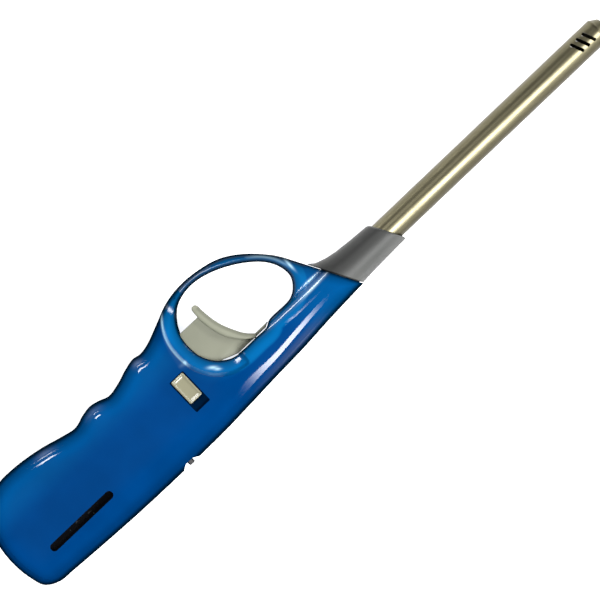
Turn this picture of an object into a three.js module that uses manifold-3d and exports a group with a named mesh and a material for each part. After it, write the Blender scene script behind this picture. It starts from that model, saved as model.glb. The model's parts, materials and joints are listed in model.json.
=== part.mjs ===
// Long-reach gas utility lighter: a two-part moulded handle with a finger guard, a piezo trigger,
// a gas tank with its valves, a tapered nose collar and a slotted metal barrel.
// Millimetres. +X runs along the barrel towards its tip, +Y towards the trigger finger, +Z up.
// The lighter lies on its right side: Z = 0 is the surface it rests on, and the origin is the point
// of that side below the barrel's centre line.
import * as THREE from 'three';
import { LoftGeometry } from 'three/addons/geometries/LoftGeometry.js';
import { mergeVertices } from 'three/addons/utils/BufferGeometryUtils.js';
import Module from 'manifold-3d';

const wasm = await Module();
wasm.setup();

// ---------- driving dimensions ----------
const handleThickness = 20;
const handleWall = 2;
const edgeRoundSide = 5;
const edgeRoundPlan = 3.6;
const fitGap = 0.3;
const seamGap = 0.3;
const half = handleThickness / 2;

const guardHalfThickness = 5.8;
const guardEdgeRound = 1.6;
const dishWidth = 5.4;
const dishFloor = 6.2;

const barrelRadius = 4.8;
const barrelWall = 0.4;
const barrelStart = 72;
const barrelLength = 138.8;
const barrelCrimpLength = 3.1;
const barrelMouthRadius = 2.5;
const slotPitch = 2.7;
const slotWidth = 1.0;
const slotCount = 3;
const slotFromTip = 6.8;
const slotReach = 5.2;
const slotLean = 0.38;

const jointLean = 0.543;
const jointX = 87.15;
const collarEndX = 109.1;
const collarSpigotLength = 8;
const collarSpigotRadius = 6.1;

const windowStart = -47.3;
const windowLength = 28.4;
const windowWidth = 2.9;

const triggerThickness = 8.4;
const triggerTravel = 5;
const triggerRear = 30.5;

const lockLength = 9.8;
const lockWidth = 5.2;
const lockTravel = 3;
const lockX = 23.4;
const lockTopY = 13.0;
const lockFloor = 8.5;
const lockRise = 10.3;

const piezoStart = 3;
const piezoLength = 18.6;
const piezoSide = 8.6;
const piezoY = 16;
const plungerRadius = 2.8;

const tankStart = -55.4;
const tankEnd = 2;
const tankLowY = -7.4;
const tankHighY = 15.4;
const tankHalf = 6.4;
const tankWall = 1.2;
const lidThickness = 2.2;

const valveY = -1.2;
const valveRadius = 3;
const stemRadius = 0.85;
const stemTravel = 0.8;
const adjusterX = 5.9;
const adjusterWidth = 2.2;
const adjusterRadius = 5;
const adjusterReach = 10.6;
const adjusterSwing = 25;

const leverPivotX = 18;
const leverPivotY = 2.4;
const leverThickness = 4;

const hoseRadius = 1.1;
const hoseBore = 0.8;
const hoseStart = 21.6;
const nozzleX = 178;
const nozzleLength = 12;

const refillY = 4;
const refillTravel = 1.5;

const screwHeadRadius = 2.3;
const screwShankRadius = 0.9;
const screwPlaces = [[-47, 20.4], [-6.5, 19.4], [37, -6.2]];
const screwHeadZ = [-7.4, -7.4, -5.6];
const screwHeadHeight = 1.6;

// ---------- outlines, as points of smooth curves ----------
const handleOutline = [
  [57, 3], [52, -3], [45, -7.8], [36, -10.3], [24, -11.3], [10, -11.6], [-20, -11.4], [-47, -10.2], [-53.4, -9.7], [-57.9, -7],
  [-59.8, -1.5], [-60.6, 5], [-60, 13], [-57.6, 20], [-53, 25.6], [-46, 28.6], [-38, 29], [-27, 27.5],
  [-19.5, 25.6], [-13.6, 24.5], [-8.6, 25.8], [-5, 26.4], [-1.6, 25.6], [2, 24.5], [7.6, 25.5],
  [12, 27], [17, 27.7], [22, 28], [30.6, 31], [37.4, 33.8], [45, 35.1], [52, 34.8],
];
const guardOutline = [
  [45, 35.1], [52.7, 34.7], [61.2, 32.6], [68, 28.4], [74.8, 21.6], [79, 15.5], [81, 10.8],
];
const holeOutline = [
  [58.9, 6.2], [69.4, 6.5], [72.8, 8.2], [74.9, 11.8], [74.3, 16.6], [71.4, 21.4], [64.6, 26.9],
  [55.5, 31.2], [47.6, 32.5], [40.6, 30.8], [36.4, 26.9], [34, 21.9], [33.7, 15.5], [34.6, 12],
  [37, 8.2], [40.8, 5.3], [45, 4.2], [58.9, 4.2],
];
const triggerOutline = [
  [triggerRear, 10], [triggerRear, 22.4], [31.2, 23.1], [42.6, 23.1], [42.6, 26.1], [43.4, 26.9],
  [44.9, 26.9], [45.2, 22], [46.2, 16.7], [48.3, 11.6], [50.3, 8.2], [52.2, 6.1], [53.4, 5.7],
  [58.2, 5.7], [58.5, 5.2], [58.2, 4.6], [44, 4.6], [41, 5.7], [38, 7], [34, 6], [25.4, 6], [25.4, 9.2],
];
// Side view of the handle: half thickness at places along X.
const crownProfile = [
  [-62, 8.6], [-50, 9.4], [-32, half], [38, half], [46, 9.4], [58, 8.2],
];
// Nose, from inside the handle to the collar's end: X, lowest Y, highest Y, half thickness.
const noseStations = [
  [28, -11, 5.4, 8.9], [50, -10, 6.1, 8.2], [66, -9.05, 6.4, 7.9], [74, -8.4, 8.1, 7.7],
  [79, -8.1, 11.2, 7.6], [84, -7.8, 9.3, 7.4], [90, -7.25, 7.2, 7.1], [98, -6.75, 6.4, 6.6],
  [106, -6.45, 5.9, 6.2], [114, -6.2, 5.4, 6],
];
const noseHollow = [[26, -8.8, 2.3, 6.4], [50, -7.8, 2.5, 6], [72, -6.2, 4.2, 5.2]];

// ---------- helpers ----------
function solid(geometry) {
  const bare = new THREE.BufferGeometry();
  bare.setAttribute('position', geometry.getAttribute('position'));
  bare.setIndex(geometry.index);
  const merged = mergeVertices(bare, 1e-4);
  const index = merged.index.array;
  const kept = [];
  for (let i = 0; i < index.length; i += 3) {
    const [a, b, c] = [index[i], index[i + 1], index[i + 2]];
    if (a !== b && b !== c && c !== a) kept.push(a, b, c);
  }
  const build = (order) => new wasm.Manifold(new wasm.Mesh({
    numProp: 3,
    vertProperties: merged.attributes.position.array,
    triVerts: new Uint32Array(order),
  }));
  const made = build(kept);
  if (made.volume() > 0) return made;
  const turned = [];
  for (let i = 0; i < kept.length; i += 3) turned.push(kept[i], kept[i + 2], kept[i + 1]);
  return build(turned);
}

function geometryOf(body) {
  const mesh = body.getMesh();
  const step = mesh.numProp;
  const position = new Float32Array(mesh.numVert * 3);
  for (let i = 0; i < mesh.numVert; i += 1) {
    position.set(mesh.vertProperties.subarray(i * step, i * step + 3), i * 3);
  }
  const geometry = new THREE.BufferGeometry();
  geometry.setAttribute('position', new THREE.BufferAttribute(position, 3));
  geometry.setIndex(new THREE.BufferAttribute(new Uint32Array(mesh.triVerts), 1));
  const flat = geometry.toNonIndexed();
  flat.computeVertexNormals();
  return flat;
}

const toVectors = (points) => points.map(([x, y]) => new THREE.Vector2(x, y));

// Evenly spaced points along a smooth open curve through the given ones.
function smooth(points, count) {
  const path = new THREE.CatmullRomCurve3(points.map(([x, y]) => new THREE.Vector3(x, y, 0)));
  return path.getSpacedPoints(count).map((p) => new THREE.Vector2(p.x, p.y));
}

// A plate of this outline between two heights. round = [inset, height] of its rounded edges.
function plate(points, low, high, round = [0, 0], grow = 0, segments = 3) {
  const [inset, height] = round;
  const rounded = inset > 0 || grow !== 0;
  const geometry = new THREE.ExtrudeGeometry(new THREE.Shape(points), {
    depth: high - low - 2 * height,
    bevelEnabled: rounded,
    bevelSize: inset,
    bevelThickness: height,
    bevelOffset: grow - inset,
    bevelSegments: inset > 0 ? segments : 1,
    steps: 1,
  });
  geometry.translate(0, 0, low + height);
  return solid(geometry);
}

function box(low, high) {
  const size = high.map((value, i) => value - low[i]);
  const geometry = new THREE.BoxGeometry(...size);
  geometry.translate(...low.map((value, i) => value + size[i] / 2));
  return solid(geometry);
}

// A round piece about an axis along X: profile points are [X, radius], closed back to the first.
function turnedX(profile, y = 0, z = 0, sides = 24) {
  const points = [...profile, profile[0]].map(([x, r]) => new THREE.Vector2(r, x));
  const geometry = new THREE.LatheGeometry(points, sides);
  geometry.rotateZ(-Math.PI / 2);
  geometry.translate(0, y, z);
  return solid(geometry);
}

const rodX = (x0, x1, r, y = 0, z = 0, sides = 24) =>
  turnedX([[x0, 0], [x0, r], [x1, r], [x1, 0]], y, z, sides);

function rodZ(x, y, z0, z1, r, sides = 18) {
  const geometry = new THREE.CylinderGeometry(r, r, z1 - z0, sides);
  geometry.rotateX(Math.PI / 2);
  geometry.translate(x, y, (z0 + z1) / 2);
  return solid(geometry);
}

// A skin over rounded sections set along X.
function loftX(stations, sides = 24, power = 1) {
  const sections = stations.map(([x, low, high, halfZ]) => {
    const ring = [];
    for (let i = 0; i < sides; i += 1) {
      const angle = (i / sides) * Math.PI * 2;
      const c = Math.sign(Math.cos(angle)) * Math.abs(Math.cos(angle)) ** power;
      const s = Math.sign(Math.sin(angle)) * Math.abs(Math.sin(angle)) ** power;
      ring.push(new THREE.Vector3(x, (low + high) / 2 + (c * (high - low)) / 2, s * halfZ));
    }
    return ring;
  });
  return solid(new LoftGeometry(sections, { capStart: true, capEnd: true }));
}

function tube(points, radius, steps, sides) {
  const path = new THREE.CatmullRomCurve3(points.map((p) => new THREE.Vector3(...p)));
  const shape = new THREE.Shape();
  shape.absarc(0, 0, radius, 0, Math.PI * 2);
  const geometry = new THREE.ExtrudeGeometry(shape, {
    steps,
    extrudePath: path,
    curveSegments: sides / 2,
    bevelEnabled: false,
  });
  return solid(geometry);
}

class Coil extends THREE.Curve {
  constructor(x0, x1, radius, turns, y) {
    super();
    Object.assign(this, { x0, x1, radius, turns, y });
  }

  getPoint(t, target = new THREE.Vector3()) {
    const angle = t * this.turns * Math.PI * 2;
    return target.set(
      this.x0 + (this.x1 - this.x0) * t,
      this.y + this.radius * Math.cos(angle),
      this.radius * Math.sin(angle),
    );
  }
}

function spring(x0, x1, radius, wire, turns, y) {
  const shape = new THREE.Shape();
  shape.absarc(0, 0, wire, 0, Math.PI * 2);
  const geometry = new THREE.ExtrudeGeometry(shape, {
    steps: turns * 10,
    extrudePath: new Coil(x0 + wire, x1 - wire, radius, turns, y),
    curveSegments: 2,
    bevelEnabled: false,
  });
  return solid(geometry);
}

const unite = (first, ...rest) => rest.reduce((sum, next) => sum.add(next), first);
const cut = (first, ...rest) => rest.reduce((left, next) => left.subtract(next), first);

const lighter = new THREE.Group();
lighter.name = 'utility_lighter';
lighter.position.z = half;

const finishes = {
  blue: { color: 0x0a4a8c, roughness: 0.3, metalness: 0 },
  grey: { color: 0x707068, roughness: 0.4, metalness: 0 },
  pale: { color: 0xb0b2a4, roughness: 0.45, metalness: 0 },
  black: { color: 0x18181a, roughness: 0.5, metalness: 0 },
  white: { color: 0xe4e2da, roughness: 0.5, metalness: 0 },
  steel: { color: 0xa09a82, roughness: 0.3, metalness: 1 },
  brass: { color: 0xc09a48, roughness: 0.35, metalness: 1 },
  smoke: { color: 0x10202c, roughness: 0.2, metalness: 0 },
};

function add(group, name, body, finish) {
  const mesh = new THREE.Mesh(geometryOf(body), new THREE.MeshStandardMaterial(finishes[finish]));
  mesh.name = name;
  group.add(mesh);
}

function subgroup(name) {
  const group = new THREE.Group();
  group.name = name;
  lighter.add(group);
  return group;
}

// ---------- handle shells ----------
const planPoints = smooth(handleOutline, 58);
const guardPoints = [...smooth(guardOutline, 14), new THREE.Vector2(82, 3), new THREE.Vector2(42, 3)];
const holePoints = toVectors(holeOutline);

// Solid between the two crowned sides, with the given thickness taken off each side.
function crown(off) {
  const upper = crownProfile.map(([x, h]) => new THREE.Vector2(x, h - off));
  const lower = crownProfile.map(([x, h]) => new THREE.Vector2(x, off - h)).reverse();
  const geometry = new THREE.ExtrudeGeometry(new THREE.Shape([...upper, ...lower]), {
    depth: 60,
    bevelEnabled: false,
  });
  geometry.rotateX(Math.PI / 2);
  geometry.translate(0, 42, 0);
  return solid(geometry);
}

// Cutter that dishes the side round the hole: it grows outwards from the hole's edge.
function dish(grow, floor, segments = 3) {
  const top = plate(holePoints, floor, floor + 2 * edgeRoundSide, [dishWidth, edgeRoundSide], grow + dishWidth, segments);
  return top.add(top.mirror([0, 0, 1]));
}

const body = plate(planPoints, -half, half, [edgeRoundPlan, edgeRoundSide]).intersect(crown(0));
const guard = plate(guardPoints, -guardHalfThickness, guardHalfThickness, [guardEdgeRound, guardEdgeRound], 0, 2);
const nose = loftX(noseStations);
const holeCut = plate(holePoints, -half - 1, half + 1);
const inner = [edgeRoundPlan - handleWall, edgeRoundSide - handleWall];
const hollowPoints = smooth(handleOutline, 44);
const bodyHollow = plate(hollowPoints, -half + handleWall, half - handleWall, inner, -handleWall, 2)
  .intersect(crown(handleWall))
  .subtract(dish(handleWall, dishFloor - handleWall + 0.2, 2))
  .subtract(plate(holePoints, -half, half, [0, 0], handleWall));
const pocketHalf = triggerThickness / 2 + fitGap;
const pocket = box([24, 4.4, -pocketHalf], [44, 23.1 + fitGap, pocketHalf]);
const barrelSeat = rodX(barrelStart - fitGap, 100, barrelRadius + fitGap, 0, 0, 32);
const spigotSeat = rodX(jointX - collarSpigotLength - fitGap, 100, collarSpigotRadius + fitGap, 0, 0, 32);

// Everything in front of a slanted plane across the nose.
function ahead(x) {
  const at = (y) => x - jointLean * y;
  const points = [[at(-14), -14], [130, -14], [130, 16], [at(16), 16]];
  return plate(toVectors(points), -half, half);
}

const lockSlot = unite(
  box([lockX - lockWidth / 2 - 0.5, lockTopY - lockLength - lockTravel - fitGap, lockFloor],
    [lockX + lockWidth / 2 + 0.5, lockTopY + fitGap, half + 1]),
  box([lockX - 1.6, 1.6, 5], [lockX + 1.6, 11.4, half]),
);
function windowCut(low, high, grow) {
  const r = windowWidth / 2 + grow;
  const shape = new THREE.Shape();
  shape.absarc(windowStart + windowLength - windowWidth / 2, 0, r, -Math.PI / 2, Math.PI / 2);
  shape.absarc(windowStart + windowWidth / 2, 0, r, Math.PI / 2, (3 * Math.PI) / 2);
  return plate(shape.getPoints(5), low, high);
}
const adjusterSlot = box([adjusterX - 0.6, -13, -6.4], [adjusterX + adjusterWidth + 0.6, -8, 6.4]);
const adjusterScoop = rodZ(6.8, -15.2, -8.4, 8.4, 5.2, 40);
const refillOpening = rodX(-64, -56, 4, refillY);

const bossRadius = screwHeadRadius + fitGap + 1;
let hull = unite(body, guard, nose);
hull = cut(hull, dish(0, dishFloor), holeCut, ahead(jointX));
let hollow = unite(bodyHollow, loftX(noseHollow), pocket, barrelSeat, spigotSeat);
screwPlaces.forEach(([x, y]) => {
  hollow = hollow.subtract(rodZ(x, y, -half, half, bossRadius));
});
let shells = cut(hull, hollow, windowCut(-half - 1, half + 1, 0), adjusterSlot, adjusterScoop);
shells = shells.subtract(refillOpening);
screwPlaces.forEach(([x, y], i) => {
  const seat = screwHeadZ[i];
  shells = cut(
    shells,
    rodZ(x, y, -half - 1, seat + screwHeadHeight, screwHeadRadius + fitGap),
    rodZ(x, y, -half, 0, screwShankRadius + 0.5),
    rodZ(x, y, -1, 6, screwShankRadius + fitGap),
  );
});
const upperHalf = box([-70, -20, seamGap / 2], [120, 50, half + 2]);
const lowerHalf = box([-70, -20, -half - 2], [120, 50, -seamGap / 2]);
const handle = subgroup('handle');
add(handle, 'left_shell', shells.subtract(lockSlot).intersect(upperHalf), 'blue');
add(handle, 'right_shell', shells.intersect(lowerHalf), 'blue');
screwPlaces.forEach(([x, y], i) => {
  const seat = screwHeadZ[i];
  const head = rodZ(x, y, seat, seat + screwHeadHeight - fitGap, screwHeadRadius);
  const shank = rodZ(x, y, seat + 0.5, 5.6, screwShankRadius, 12);
  const slotA = box([x - 1.4, y - 0.25, seat - 0.1], [x + 1.4, y + 0.25, seat + 0.6]);
  const slotB = box([x - 0.25, y - 1.4, seat - 0.1], [x + 0.25, y + 1.4, seat + 0.6]);
  add(handle, `shell_screw_${i + 1}`, cut(head.add(shank), slotA, slotB), 'steel');
});

// ---------- nose collar and barrel ----------
const front = subgroup('front');
const collarSleeve = rodX(jointX - collarSpigotLength, 100, collarSpigotRadius, 0, 0, 32);
const collarBody = nose.intersect(ahead(jointX + fitGap)).subtract(ahead(collarEndX));
const collar = collarBody.add(collarSleeve)
  .subtract(rodX(jointX - collarSpigotLength - 1, 120, barrelRadius + fitGap, 0, 0, 32));
add(front, 'nose_collar', collar, 'grey');

const barrelEnd = barrelStart + barrelLength;
const crimpX = barrelEnd - barrelCrimpLength;
const bore = barrelRadius - barrelWall;
let barrel = turnedX([
  [barrelStart, bore], [barrelStart, barrelRadius], [crimpX, barrelRadius],
  [crimpX + 1.1, barrelRadius - 0.45], [barrelEnd - 0.5, barrelMouthRadius + 0.55],
  [barrelEnd, barrelMouthRadius + 0.2], [barrelEnd - 0.1, barrelMouthRadius - 0.1],
  [barrelEnd - 0.7, barrelMouthRadius], [crimpX + 0.8, bore - 0.45], [crimpX, bore],
], 0, 0, 28);
for (let i = 0; i < slotCount; i += 1) {
  const slot = new THREE.BoxGeometry(slotWidth, slotReach, 20);
  slot.rotateZ(slotLean);
  slot.translate(barrelEnd - slotFromTip - i * slotPitch, 0.6, 0);
  barrel = barrel.subtract(solid(slot));
}
add(front, 'barrel_tube', barrel, 'steel');

// ---------- trigger, lock and piezo unit ----------
const firing = subgroup('firing');
const triggerHalf = triggerThickness / 2;
const trigger = plate(toVectors(triggerOutline), -triggerHalf, triggerHalf)
  .subtract(box([37.5, 9.5, -1.6], [42.5, 20.5, triggerHalf + 1]))
  .add(box([37.4, 14.4, -1.7], [42.6, 15.6, triggerHalf - 1]));
add(firing, 'trigger', trigger, 'pale');

const piezoEnd = piezoStart + piezoLength;
const piezoHalf = piezoSide / 2;
const piezoHousing = box([piezoStart, piezoY - piezoHalf, -piezoHalf], [piezoEnd, piezoY + piezoHalf, piezoHalf])
  .subtract(rodX(piezoStart + 7, piezoEnd + 1, plungerRadius + fitGap, piezoY));
add(firing, 'piezo_housing', piezoHousing, 'white');
const plungerStart = piezoStart + 7 + fitGap + triggerTravel;
add(firing, 'piezo_plunger', rodX(plungerStart, triggerRear - fitGap, plungerRadius, piezoY, 0, 20), 'black');
add(firing, 'piezo_terminal', turnedX([
  [0.9, 0], [0.9, 0.7], [1.7, 0.7], [1.7, 1.5], [piezoStart - fitGap, 1.5], [piezoStart - fitGap, 0],
], piezoY + 1.8, 0, 14), 'brass');
add(firing, 'trigger_spring',
  spring(piezoEnd + fitGap, triggerRear - fitGap, plungerRadius + fitGap + 0.4, 0.4, 4, piezoY), 'steel');

const lockLowY = lockTopY - lockLength;
const lockPlanHalf = lockWidth / 2;
const lockCap = box([lockX - lockPlanHalf, lockLowY, lockFloor + fitGap], [lockX + lockPlanHalf, lockTopY, lockRise])
  .subtract(rodZ(lockX, (lockLowY + lockTopY) / 2, lockRise - 0.6, lockRise + 1, 2))
  .subtract(box([lockX - 1.9, lockLowY + 0.8, lockRise - 0.5], [lockX + 1.9, lockTopY - 0.8, lockRise + 1]));
const lockNeck = box([lockX - 1.3, 4.9, 5.9], [lockX + 1.3, 11, lockFloor + fitGap + 0.2]);
const lockPlate = box([lockX - 3.4, 3.2, 5.4], [lockX + 3.4, 14, 6.9]);
add(firing, 'lock_slider', unite(lockCap, lockNeck, lockPlate), 'pale');

const wirePath = [
  [-0.1, 17.8, 0], [-0.7, 17.9, -2.4], [0.2, 17.6, -5.2], [4, 16, -6.1], [14, 9, -6.2], [26, 1.5, -5.6], [40, -0.4, -4.6],
  [56, 0.2, -3.6], [68, 1.6, -1.4], [78, 2.2, 0], [100, 2.2, 0], [130, 2.2, 0], [160, 2.2, 0], [183.6, 2.2, 0],
];
add(firing, 'ignition_wire', tube(wirePath, 0.65, 56, 6), 'black');

// ---------- gas tank and refill valve ----------
const gas = subgroup('gas');
const tankShape = (off) => toVectors([
  [tankStart + off + 3, tankLowY + off], [tankEnd, tankLowY + off], [tankEnd, tankHighY - off],
  [tankStart + off + 3, tankHighY - off], [tankStart + off, tankHighY - off - 3], [tankStart + off, tankLowY + off + 3],
]);
const tankInside = plate(tankShape(tankWall), -tankHalf + tankWall, tankHalf - tankWall);
const tank = cut(
  plate(tankShape(0), -tankHalf, tankHalf),
  tankInside,
  box([tankEnd - 1.5, tankLowY + tankWall, -tankHalf + tankWall], [tankEnd + 1, tankHighY - tankWall, tankHalf - tankWall]),
  rodX(tankStart - 1, tankStart + 3, 2.9, refillY),
);
add(gas, 'fuel_tank', tank, 'smoke');
const lidX = tankEnd + fitGap;
const tankLid = box([lidX, tankLowY, -tankHalf], [lidX + lidThickness, tankHighY - 5, tankHalf])
  .subtract(rodX(lidX - 1, lidX + 4, valveRadius - 0.4 + fitGap, valveY));
add(gas, 'tank_lid', tankLid, 'white');
add(gas, 'tank_wick', rodX(-48, -3.4, 1.1, valveY, 0, 12), 'white');

const refillFront = tankStart + 6;
add(gas, 'refill_valve_body', turnedX([
  [-58.4, 1.3], [-58.4, 3.5], [tankStart - fitGap, 3.5], [tankStart - fitGap, 2.5], [refillFront, 2.5],
  [refillFront, 1.3], [refillFront - 1, 1.3], [refillFront - 1, 1.9], [-56.6, 1.9], [-56.6, 1.3],
], refillY, 0, 18), 'brass');
add(gas, 'refill_valve_stem', turnedX([
  [-59.6, 0], [-59.6, 0.9], [-56.2, 0.9], [-56.2, 1.6], [-55.2, 1.6], [-55.2, 0.6], [-49, 0.6], [-49, 0],
], refillY, 0, 16), 'steel');
add(gas, 'refill_valve_spring', spring(-55 + 0.1, refillFront - 1.2, 1.25, 0.25, 4, refillY), 'steel');

// ---------- gas valve, flame adjuster and lever ----------
const valveStart = -2;
const valveFlange = lidX + lidThickness + fitGap;
const valveEnd = 9.6;
add(gas, 'valve_body', turnedX([
  [valveStart, 1.2], [valveStart, valveRadius - 0.4], [valveFlange, valveRadius - 0.4],
  [valveFlange, valveRadius + 0.6], [valveFlange + 0.7, valveRadius + 0.6],
  [valveFlange + 0.7, valveRadius], [valveEnd, valveRadius], [valveEnd, 1.2], [valveEnd - 1, 1.2],
  [valveEnd - 1, 2], [valveStart + 1, 2], [valveStart + 1, 1.2],
], valveY, 0, 18), 'brass');
const collarX = 18.6;
add(gas, 'valve_stem', turnedX([
  [0, 0], [0, 1.6], [1.2, 1.6], [1.2, stemRadius], [collarX, stemRadius], [collarX, 1.7],
  [collarX + 0.9, 1.7], [collarX + 0.9, 0.5], [23.4, 0.5], [23.4, 0],
], valveY, 0, 16), 'steel');
add(gas, 'valve_spring', spring(1.4, valveEnd - 1.2, 1.45, 0.25, 5, valveY), 'steel');
const adjusterEnd = adjusterX + adjusterWidth;
const adjusterRing = rodX(adjusterX, adjusterEnd, adjusterRadius, valveY, 0, 20)
  .add(box([adjusterX, valveY - adjusterReach, -1.3], [adjusterEnd, valveY - adjusterRadius + 0.6, 1.3]))
  .subtract(rodX(adjusterX - 1, adjusterEnd + 1, valveRadius + fitGap, valveY));
add(gas, 'flame_adjuster', adjusterRing, 'black');

const leverHalf = leverThickness / 2;
const leverOutline = toVectors([
  [16.4, -4.4], [17.9, -4.4], [18, 0.9], [20.4, 2.2], [20.4, 8.2], [18.9, 8.2], [18.3, 4.8],
  [16.2, 3.6], [16.2, 0],
]);
const lever = plate(leverOutline, -leverHalf, leverHalf)
  .subtract(rodZ(leverPivotX, leverPivotY, -5, 5, 1.1, 16))
  .subtract(box([15, -8, -stemRadius - 0.35], [19, valveY + stemRadius + 0.35, stemRadius + 0.35]));
add(gas, 'gas_lever', lever, 'brass');
add(gas, 'gas_lever_pin', rodZ(leverPivotX, leverPivotY, -5.2, 5.2, 0.8, 12), 'steel');

// ---------- gas line to the barrel tip ----------
add(front, 'gas_hose', turnedX([
  [hoseStart, hoseBore], [hoseStart, hoseRadius], [nozzleX + 5, hoseRadius], [nozzleX + 5, hoseBore],
], valveY, 0, 14), 'white');
const nozzleEnd = nozzleX + nozzleLength;
const nozzleHolder = cut(
  rodX(nozzleX, nozzleEnd, bore - fitGap, 0, 0, 24),
  rodX(nozzleX - 1, nozzleX + 5 + fitGap, hoseRadius + fitGap, valveY, 0, 16),
  rodX(nozzleX + 4, nozzleEnd + 1, 0.95, valveY, 0, 16),
  rodX(nozzleX - 1, nozzleX + 5.9, 0.95, 2.2, 0, 12),
  rodX(nozzleX + 5, nozzleEnd + 1, 0.85, 2.2, 0, 12),
);
add(front, 'nozzle_holder', nozzleHolder, 'black');
add(front, 'nozzle_jet', turnedX([
  [nozzleX + 6, 0.3], [nozzleX + 6, 0.65], [nozzleEnd + fitGap, 0.65], [nozzleEnd + fitGap, 1.3],
  [nozzleEnd + 4, 1.3], [nozzleEnd + 5.4, 0.6], [nozzleEnd + 5.4, 0.3],
], valveY, 0, 16), 'brass');
add(front, 'electrode', tube(
  [[nozzleX + 6.2, 2.2, 0], [nozzleEnd + 1, 2.2, 0], [nozzleEnd + 5, 2.2, 0], [nozzleEnd + 8.4, 0.9, 0]],
  0.45, 10, 6,
), 'steel');

export default lighter;
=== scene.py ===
"""Long-reach gas lighter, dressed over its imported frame.

The grip shells, nose collar, barrel, trigger, lock button and the small visible fittings are modelled
here as parametric surfaces; the pieces inside keep their solids and get finished materials.
Lengths in the surface functions are millimetres with Z counted from the middle of the thickness.
"""
import json
import math

import bmesh
import bpy
import numpy as np
from mathutils import Matrix, Vector


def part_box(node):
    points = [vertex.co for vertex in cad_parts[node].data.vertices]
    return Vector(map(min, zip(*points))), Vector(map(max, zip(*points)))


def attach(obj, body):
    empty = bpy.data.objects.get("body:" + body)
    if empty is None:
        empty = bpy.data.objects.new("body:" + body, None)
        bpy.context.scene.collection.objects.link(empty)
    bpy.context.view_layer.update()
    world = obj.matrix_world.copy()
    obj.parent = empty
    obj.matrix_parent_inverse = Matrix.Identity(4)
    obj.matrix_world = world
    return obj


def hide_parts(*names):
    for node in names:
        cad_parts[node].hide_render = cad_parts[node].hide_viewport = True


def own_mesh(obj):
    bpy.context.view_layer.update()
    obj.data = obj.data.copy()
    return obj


bl_info = {
    "name": "Long-reach gas lighter",
    "version": (1, 0, 0),
    "blender": (4, 5, 0),
    "location": "View3D > Sidebar > Lighter",
    "description": "Builds the visible pieces of a long-reach gas lighter over its packed frame",
    "category": "Object",
}

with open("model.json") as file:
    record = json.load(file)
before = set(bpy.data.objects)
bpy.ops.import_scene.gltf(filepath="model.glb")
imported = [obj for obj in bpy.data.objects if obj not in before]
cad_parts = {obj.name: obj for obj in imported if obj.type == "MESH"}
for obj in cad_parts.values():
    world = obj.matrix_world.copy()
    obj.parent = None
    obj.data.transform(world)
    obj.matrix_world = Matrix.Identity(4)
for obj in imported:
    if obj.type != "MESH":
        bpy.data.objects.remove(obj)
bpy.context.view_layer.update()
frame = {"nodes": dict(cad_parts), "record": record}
MM = 0.001


def node_box(node):
    """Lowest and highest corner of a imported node, in millimetres with Z from the middle plane."""
    low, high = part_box(node)
    shift = np.array([0.0, 0.0, MID])
    return np.array(low) / MM - shift, np.array(high) / MM - shift


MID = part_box("left_shell")[1].z / MM / 2
BARREL = node_box("barrel_tube")
TRIGGER = node_box("trigger")
LOCK = node_box("lock_slider")
TANK = node_box("fuel_tank")
ADJUSTER = node_box("flame_adjuster")

# Outlines, as points of smooth curves in the plan of the lighter.
HANDLE_OUTLINE = [
    (94.4, -6.4), (93.2, -7.2), (88.4, -7.5), (74.8, -8.3), (61.2, -9.35), (47.6, -10), (34, -10.8),
    (22, -11.4), (0, -11.65), (-20, -11.4), (-47, -10.2), (-53.4, -9.7), (-57.9, -7), (-59.8, -1.5),
    (-60.6, 5), (-60, 13), (-57.6, 20), (-53, 25.6), (-46, 28.7), (-38, 29), (-27, 27.5), (-19.5, 25.6),
    (-13.6, 24.5), (-8.6, 25.9), (-5, 26.4), (-1.6, 25.7), (2, 24.5), (7.6, 25.5), (12, 27), (16.6, 28),
    (19.5, 27.5), (23.5, 28.2), (30.6, 31), (37.4, 33.8), (45, 35.1), (52.7, 34.7), (61.2, 32.6),
    (68, 28.4), (74.8, 21.6), (79, 15.4), (81.2, 11.5), (83.4, 9.6), (85, 8), (86.6, 5.8), (90.2, 0),
]
HOLE_OUTLINE = [
    (59.4, 5.7), (69.4, 6.1), (72.8, 8.2), (74.9, 11.8), (74.3, 16.6), (71.4, 21.4), (64.6, 26.9),
    (55.5, 31.2), (47.6, 32.5), (40.6, 30.8), (36.4, 26.9), (34, 21.9), (33.7, 15.5), (34.6, 12),
    (37, 8.2), (40.8, 5.4), (45, 4.5), (52, 4.45), (57, 4.5),
]
# Places on the outer outline and on the hole's outline that face each other.
FACING = [
    ((44, -10.2), (46.5, 4.2)), ((10, -11.6), (41.5, 5)), ((-60.6, 5), (36.6, 8.8)),
    ((-38, 29), (34.2, 14)), ((-5, 26.4), (33.8, 18.6)), ((12, 27), (34.3, 22.5)),
    ((23.5, 28.2), (35.6, 25.4)), ((30.6, 31), (37.6, 28.3)), ((37.4, 33.8), (41, 31)),
    ((45, 35.1), (46.2, 32.4)), ((61.2, 32.6), (58.8, 29.7)), ((74.8, 21.6), (71.9, 20.6)),
    ((80, 13.6), (74.9, 12.6)), ((85, 8), (74.4, 10.4)), ((90.2, 0), (73.2, 8.5)), ((93.8, -7), (70.5, 6.8)),
    ((74.8, -8.3), (63, 6.3)),
]
JOINT_X = 87.15
JOINT_LEAN = 0.543
COLLAR_END_X = 109.1
NOSE_X = [28, 50, 66, 74, 80, 84, 90, 98, 106, 114]
NOSE_LOW = [-11.1, -9.95, -9.05, -8.4, -8.0, -7.75, -7.2, -6.75, -6.45, -6.2]
NOSE_HIGH = [5.4, 6.1, 6.35, 6.5, 6.5, 6.6, 6.9, 6.4, 5.9, 5.4]
NOSE_TALL = [8.9, 8.4, 8.0, 7.7, 7.5, 7.4, 7.1, 6.6, 6.2, 6.0]
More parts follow.
